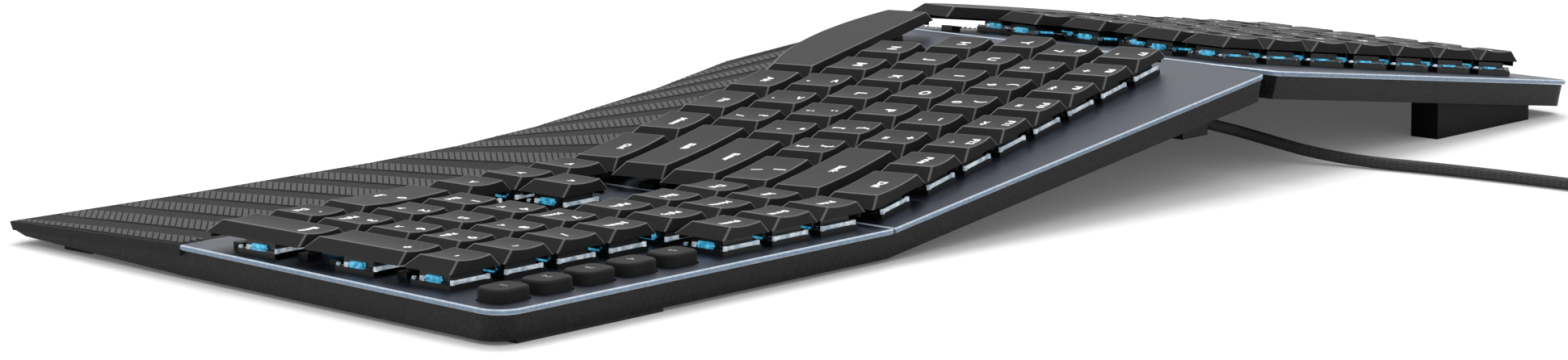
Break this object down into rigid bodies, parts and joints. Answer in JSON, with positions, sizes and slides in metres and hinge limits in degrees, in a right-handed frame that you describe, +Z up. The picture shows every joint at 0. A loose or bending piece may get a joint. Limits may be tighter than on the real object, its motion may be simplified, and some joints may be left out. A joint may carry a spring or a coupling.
{
  "type": "ergonomic mechanical keyboard",
  "caption": "Tented ergonomic keyboard with angled key halves, a separate number block, soft macro buttons, wide palm rest and a coiled cord.",
  "frame": {"origin": "on the desk, below the middle of the keyboard's bounding box without its cord", "axes": "+X to the typist's right along the keyboard's length, +Y away from the typist, +Z up"},
  "size_m": [0.4892, 0.379, 0.0399],
  "materials": {
    "keycap_plastic": "satin",
    "button_rubber": "matte",
    "anodised_plate": "satin",
    "circuit_board": "satin",
    "switch_base_plastic": "satin",
    "switch_lid_clear": "gloss",
    "case_plastic": "textured",
    "pad_rubber": "matte",
    "led_resin": "gloss",
    "clip_plastic": "satin",
    "leg_plastic": "textured",
    "foot_rubber": "matte",
    "screw_steel": "dark",
    "gland_rubber": "matte",
    "cord_braid": "braided",
    "plug_plastic": "satin",
    "plug_metal": "polished"
  },
  "bodies": {
    "keyboard_base": {"bottom_case": "case_plastic", "palm_rest_pad": "pad_rubber", "plate_number_pad": "anodised_plate", "plate_right": "anodised_plate", "plate_left": "anodised_plate", "circuit_board_number_pad": "circuit_board", "circuit_board_right": "circuit_board", "circuit_board_left": "circuit_board", "switch_bases_number_pad": "switch_base_plastic", "switch_bases_right": "switch_base_plastic", "switch_bases_left": "switch_base_plastic", "switch_lids_number_pad": "switch_lid_clear", "switch_lids_right": "switch_lid_clear", "switch_lids_left": "switch_lid_clear", "led_lights": "led_resin", "stabiliser_clips": "clip_plastic", "rear_left_leg": "leg_plastic", "rubber_feet": "foot_rubber", "case_screws": "screw_steel", "cable_gland": "gland_rubber", "cord_lead": "cord_braid", "cord_coil": "cord_braid", "usb_plug_grip": "plug_plastic", "usb_plug_shell": "plug_metal"},
    "keys_function_right": {"keys_function_right": "keycap_plastic"},
    "keys_number_right": {"keys_number_right": "keycap_plastic"},
    "keys_upper_right": {"keys_upper_right": "keycap_plastic"},
    "keys_home_right": {"keys_home_right": "keycap_plastic"},
    "keys_lower_right": {"keys_lower_right": "keycap_plastic"},
    "keys_modifier_right": {"keys_modifier_right": "keycap_plastic"},
    "key_backspace": {"key_backspace": "keycap_plastic"},
    "key_backslash": {"key_backslash": "keycap_plastic"},
    "key_enter": {"key_enter": "keycap_plastic"},
    "key_shift_right": {"key_shift_right": "keycap_plastic"},
    "key_space_right": {"key_space_right": "keycap_plastic"},
    "keys_function_left": {"keys_function_left": "keycap_plastic"},
    "key_escape": {"key_escape": "keycap_plastic"},
    "keys_number_left": {"keys_number_left": "keycap_plastic"},
    "keys_upper_left": {"keys_upper_left": "keycap_plastic"},
    "key_tab": {"key_tab": "keycap_plastic"},
    "keys_home_left": {"keys_home_left": "keycap_plastic"},
    "key_caps_lock": {"key_caps_lock": "keycap_plastic"},
    "keys_lower_left": {"keys_lower_left": "keycap_plastic"},
    "key_shift_left": {"key_shift_left": "keycap_plastic"},
    "keys_modifier_left": {"keys_modifier_left": "keycap_plastic"},
    "key_space_left": {"key_space_left": "keycap_plastic"},
    "keys_number_pad": {"keys_number_pad": "keycap_plastic"},
    "key_pad_zero": {"key_pad_zero": "keycap_plastic"},
    "key_pad_enter": {"key_pad_enter": "keycap_plastic"},
    "key_pad_plus": {"key_pad_plus": "keycap_plastic"},
    "keys_navigation": {"keys_navigation": "keycap_plastic"},
    "key_arrow_left": {"key_arrow_left": "keycap_plastic"},
    "key_arrow_down": {"key_arrow_down": "keycap_plastic"},
    "key_arrow_right": {"key_arrow_right": "keycap_plastic"},
    "key_arrow_up": {"key_arrow_up": "keycap_plastic"},
    "macro_key_1": {"macro_key_1": "button_rubber"},
    "macro_key_2": {"macro_key_2": "button_rubber"},
    "macro_key_3": {"macro_key_3": "button_rubber"},
    "macro_key_4": {"macro_key_4": "button_rubber"},
    "macro_key_5": {"macro_key_5": "button_rubber"}
  },
  "joints": [
    {"name": "function_right_press", "type": "slide", "parent": "keyboard_base", "child": "keys_function_right", "axis": [0.136, 0, 0.9907], "range_m": [-0.0028, 0], "stiffness_N_per_m": 1000, "springref_m": 0.0008},
    {"name": "number_right_press", "type": "slide", "parent": "keyboard_base", "child": "keys_number_right", "axis": [0.136, 0, 0.9907], "range_m": [-0.0028, 0], "stiffness_N_per_m": 1000, "springref_m": 0.0008},
    {"name": "upper_right_press", "type": "slide", "parent": "keyboard_base", "child": "keys_upper_right", "axis": [0.136, 0, 0.9907], "range_m": [-0.0028, 0], "stiffness_N_per_m": 1000, "springref_m": 0.0008},
    {"name": "home_right_press", "type": "slide", "parent": "keyboard_base", "child": "keys_home_right", "axis": [0.136, 0, 0.9907], "range_m": [-0.0028, 0], "stiffness_N_per_m": 1000, "springref_m": 0.0008},
    {"name": "lower_right_press", "type": "slide", "parent": "keyboard_base", "child": "keys_lower_right", "axis": [0.136, 0, 0.9907], "range_m": [-0.0028, 0], "stiffness_N_per_m": 1000, "springref_m": 0.0008},
    {"name": "modifier_right_press", "type": "slide", "parent": "keyboard_base", "child": "keys_modifier_right", "axis": [0.136, 0, 0.9907], "range_m": [-0.0028, 0], "stiffness_N_per_m": 1000, "springref_m": 0.0008},
    {"name": "backspace_press", "type": "slide", "parent": "keyboard_base", "child": "key_backspace", "axis": [0.136, 0, 0.9907], "range_m": [-0.0028, 0], "stiffness_N_per_m": 200, "springref_m": 0.0008},
    {"name": "backslash_press", "type": "slide", "parent": "keyboard_base", "child": "key_backslash", "axis": [0.136, 0, 0.9907], "range_m": [-0.0028, 0], "stiffness_N_per_m": 200, "springref_m": 0.0008},
    {"name": "enter_press", "type": "slide", "parent": "keyboard_base", "child": "key_enter", "axis": [0.136, 0, 0.9907], "range_m": [-0.0028, 0], "stiffness_N_per_m": 200, "springref_m": 0.0008},
    {"name": "shift_right_press", "type": "slide", "parent": "keyboard_base", "child": "key_shift_right", "axis": [0.136, 0, 0.9907], "range_m": [-0.0028, 0], "stiffness_N_per_m": 200, "springref_m": 0.0008},
    {"name": "space_right_press", "type": "slide", "parent": "keyboard_base", "child": "key_space_right", "axis": [0.136, 0, 0.9907], "range_m": [-0.0028, 0], "stiffness_N_per_m": 200, "springref_m": 0.0008},
    {"name": "function_left_press", "type": "slide", "parent": "keyboard_base", "child": "keys_function_left", "axis": [-0.136, 0, 0.9907], "range_m": [-0.0028, 0], "stiffness_N_per_m": 1000, "springref_m": 0.0008},
    {"name": "escape_press", "type": "slide", "parent": "keyboard_base", "child": "key_escape", "axis": [-0.136, 0, 0.9907], "range_m": [-0.0028, 0], "stiffness_N_per_m": 200, "springref_m": 0.0008},
    {"name": "number_left_press", "type": "slide", "parent": "keyboard_base", "child": "keys_number_left", "axis": [-0.136, 0, 0.9907], "range_m": [-0.0028, 0], "stiffness_N_per_m": 1000, "springref_m": 0.0008},
    {"name": "upper_left_press", "type": "slide", "parent": "keyboard_base", "child": "keys_upper_left", "axis": [-0.136, 0, 0.9907], "range_m": [-0.0028, 0], "stiffness_N_per_m": 1000, "springref_m": 0.0008},
    {"name": "tab_press", "type": "slide", "parent": "keyboard_base", "child": "key_tab", "axis": [-0.136, 0, 0.9907], "range_m": [-0.0028, 0], "stiffness_N_per_m": 200, "springref_m": 0.0008},
    {"name": "home_left_press", "type": "slide", "parent": "keyboard_base", "child": "keys_home_left", "axis": [-0.136, 0, 0.9907], "range_m": [-0.0028, 0], "stiffness_N_per_m": 1000, "springref_m": 0.0008},
    {"name": "caps_lock_press", "type": "slide", "parent": "keyboard_base", "child": "key_caps_lock", "axis": [-0.136, 0, 0.9907], "range_m": [-0.0028, 0], "stiffness_N_per_m": 200, "springref_m": 0.0008},
    {"name": "lower_left_press", "type": "slide", "parent": "keyboard_base", "child": "keys_lower_left", "axis": [-0.136, 0, 0.9907], "range_m": [-0.0028, 0], "stiffness_N_per_m": 1000, "springref_m": 0.0008},
    {"name": "shift_left_press", "type": "slide", "parent": "keyboard_base", "child": "key_shift_left", "axis": [-0.136, 0, 0.9907], "range_m": [-0.0028, 0], "stiffness_N_per_m": 200, "springref_m": 0.0008},
    {"name": "modifier_left_press", "type": "slide", "parent": "keyboard_base", "child": "keys_modifier_left", "axis": [-0.136, 0, 0.9907], "range_m": [-0.0028, 0], "stiffness_N_per_m": 1000, "springref_m": 0.0008},
    {"name": "space_left_press", "type": "slide", "parent": "keyboard_base", "child": "key_space_left", "axis": [-0.136, 0, 0.9907], "range_m": [-0.0028, 0], "stiffness_N_per_m": 200, "springref_m": 0.0008},
    {"name": "number_pad_press", "type": "slide", "parent": "keyboard_base", "child": "keys_number_pad", "axis": [0, 0, 1], "range_m": [-0.0028, 0], "stiffness_N_per_m": 1000, "springref_m": 0.0008},
    {"name": "pad_zero_press", "type": "slide", "parent": "keyboard_base", "child": "key_pad_zero", "axis": [0, 0, 1], "range_m": [-0.0028, 0], "stiffness_N_per_m": 200, "springref_m": 0.0008},
    {"name": "pad_enter_press", "type": "slide", "parent": "keyboard_base", "child": "key_pad_enter", "axis": [0, 0, 1], "range_m": [-0.0028, 0], "stiffness_N_per_m": 200, "springref_m": 0.0008},
    {"name": "pad_plus_press", "type": "slide", "parent": "keyboard_base", "child": "key_pad_plus", "axis": [0, 0, 1], "range_m": [-0.0028, 0], "stiffness_N_per_m": 200, "springref_m": 0.0008},
    {"name": "navigation_press", "type": "slide", "parent": "keyboard_base", "child": "keys_navigation", "axis": [0, 0, 1], "range_m": [-0.0028, 0], "stiffness_N_per_m": 1000, "springref_m": 0.0008},
    {"name": "arrow_left_press", "type": "slide", "parent": "keyboard_base", "child": "key_arrow_left", "axis": [0, 0, 1], "range_m": [-0.0028, 0], "stiffness_N_per_m": 200, "springref_m": 0.0008},
    {"name": "arrow_down_press", "type": "slide", "parent": "keyboard_base", "child": "key_arrow_down", "axis": [0, 0, 1], "range_m": [-0.0028, 0], "stiffness_N_per_m": 200, "springref_m": 0.0008},
    {"name": "arrow_right_press", "type": "slide", "parent": "keyboard_base", "child": "key_arrow_right", "axis": [0, 0, 1], "range_m": [-0.0028, 0], "stiffness_N_per_m": 200, "springref_m": 0.0008},
    {"name": "arrow_up_press", "type": "slide", "parent": "keyboard_base", "child": "key_arrow_up", "axis": [0, 0, 1], "range_m": [-0.0028, 0], "stiffness_N_per_m": 200, "springref_m": 0.0008},
    {"name": "macro_1_press", "type": "slide", "parent": "keyboard_base", "child": "macro_key_1", "axis": [0, 0, 1], "range_m": [-0.0009, 0], "stiffness_N_per_m": 300, "springref_m": 0.0008},
    {"name": "macro_2_press", "type": "slide", "parent": "keyboard_base", "child": "macro_key_2", "axis": [0, 0, 1], "range_m": [-0.0009, 0], "stiffness_N_per_m": 300, "springref_m": 0.0008},
    {"name": "macro_3_press", "type": "slide", "parent": "keyboard_base", "child": "macro_key_3", "axis": [0, 0, 1], "range_m": [-0.0009, 0], "stiffness_N_per_m": 300, "springref_m": 0.0008},
    {"name": "macro_4_press", "type": "slide", "parent": "keyboard_base", "child": "macro_key_4", "axis": [0, 0, 1], "range_m": [-0.0009, 0], "stiffness_N_per_m": 300, "springref_m": 0.0008},
    {"name": "macro_5_press", "type": "slide", "parent": "keyboard_base", "child": "macro_key_5", "axis": [0, 0, 1], "range_m": [-0.0009, 0], "stiffness_N_per_m": 300, "springref_m": 0.0008}
  ]
}
